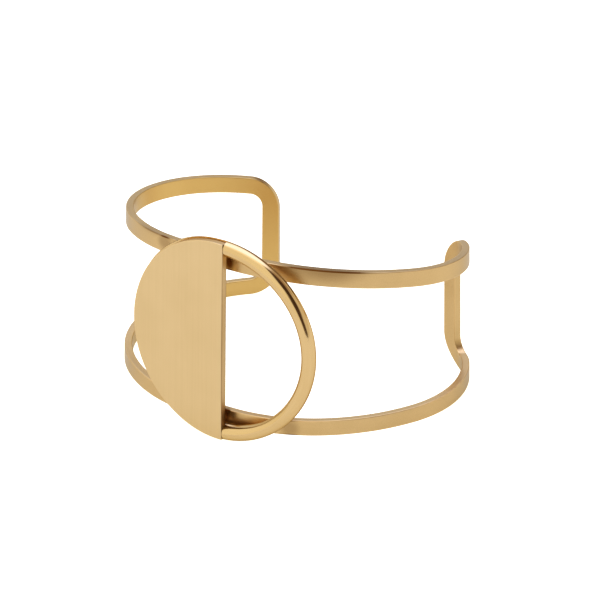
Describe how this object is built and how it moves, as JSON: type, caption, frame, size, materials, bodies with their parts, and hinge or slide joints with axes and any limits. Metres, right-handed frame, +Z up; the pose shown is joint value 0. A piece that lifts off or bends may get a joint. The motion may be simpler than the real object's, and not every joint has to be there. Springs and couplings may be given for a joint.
{
  "type": "cuff bracelet",
  "caption": "Open wire-and-bar cuff bracelet with a round front medallion, half a brushed plate and half an open ring.",
  "frame": {"origin": "centre of the bounding box's base, on the surface that the cuff rests on", "axes": "+Z up, the medallion facing -Y and leaning back a little as the cuff rests, the open side of the cuff towards +Y"},
  "size_m": [0.0648, 0.0504, 0.0375],
  "materials": {
    "satin_gold": "satin gold plate with a fine matt grain",
    "polished_gold": "soft polish with fine streaks along the wire",
    "brushed_gold": "fine upright brushing"
  },
  "bodies": {
    "root": {"cuff_frame": "satin_gold", "ring": "polished_gold", "half_disc": "brushed_gold"}
  },
  "joints": []
}
